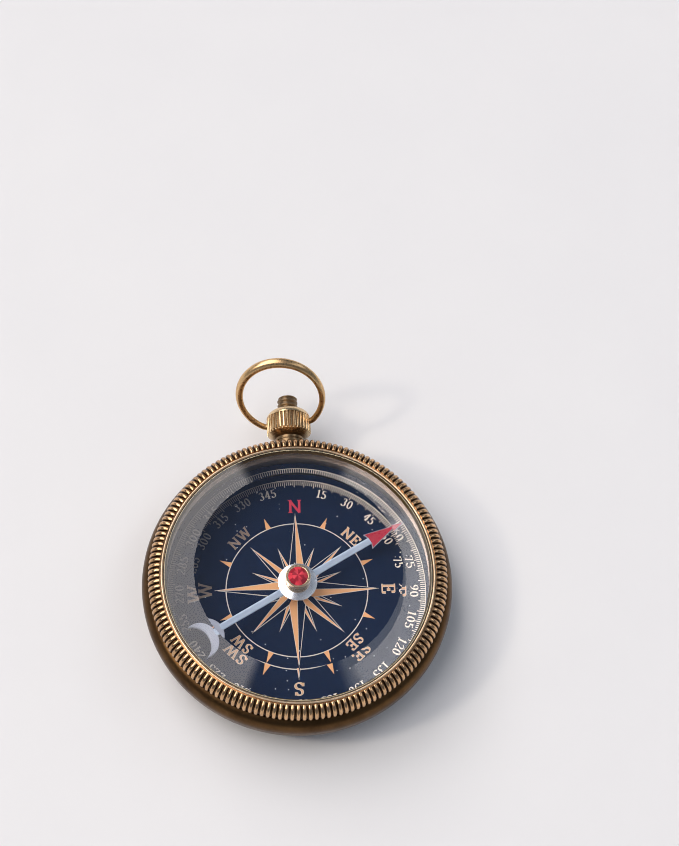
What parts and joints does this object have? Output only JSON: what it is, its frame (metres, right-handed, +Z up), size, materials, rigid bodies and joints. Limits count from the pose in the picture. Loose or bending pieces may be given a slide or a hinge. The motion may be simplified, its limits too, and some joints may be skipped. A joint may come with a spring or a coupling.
{
  "type": "pocket compass",
  "caption": "Pocket compass: bowl-shaped brass case, reeded bezel, bevelled glass, blue dial with a rose, pivoted needle, knurled crown and a swinging round bow.",
  "frame": {"origin": "middle of the flat foot of the case, on the surface that it lies on", "axes": "+Z up through the dial and the glass, +Y along the pendant towards the bow (the dial's north)"},
  "size_m": [0.0522, 0.0632, 0.0194],
  "materials": {
    "case_brass": "smooth, aged, dull in the hollows",
    "bezel_brass": "polished ridges, dark in the grooves",
    "rehaut_brass": "turned, satin",
    "plain_brass": "turned, bright",
    "crown_brass": "polished, worn on the flutes",
    "stud_brass": "dark, cut thread",
    "bow_brass": "polished wire",
    "felt": "pressed felt",
    "dial_enamel": "satin dark blue with a printed rose and scale",
    "gasket": "dark, dull",
    "glass": "clear, polished, wide bevel",
    "hard_steel": "hardened, polished point",
    "silvered_steel": "silvered, red enamel on the arrow head",
    "bright_chrome": "polished",
    "bearing_stone": "polished synthetic stone",
    "red_stone": "polished dome"
  },
  "bodies": {
    "case": {"case_body": "case_brass", "dial_cushion": "felt", "dial_plate": "plain_brass", "dial_face": "dial_enamel", "rehaut": "rehaut_brass", "bezel": "bezel_brass", "crystal_gasket": "gasket", "crystal": "glass", "pivot_post": "plain_brass", "pivot_nut": "plain_brass", "pivot_pin": "hard_steel", "pendant_collar": "crown_brass", "pendant_stud": "stud_brass", "crown": "crown_brass"},
    "needle": {"needle": "silvered_steel", "needle_hub": "bright_chrome", "jewel_cup": "plain_brass", "pivot_jewel": "bearing_stone", "cap_stone": "red_stone"},
    "bow": {"bow": "bow_brass"}
  },
  "joints": [
    {"name": "needle_spin", "type": "hinge", "parent": "case", "child": "needle", "pos_m": [0, 0, 0.0073], "axis": [0, 0, 1], "continuous": true},
    {"name": "bow_swing", "type": "hinge", "parent": "case", "child": "bow", "pos_m": [0, 0.0299, 0.0073], "axis": [0.9664, 0, 0.2571], "range_deg": [-190, 65]}
  ]
}
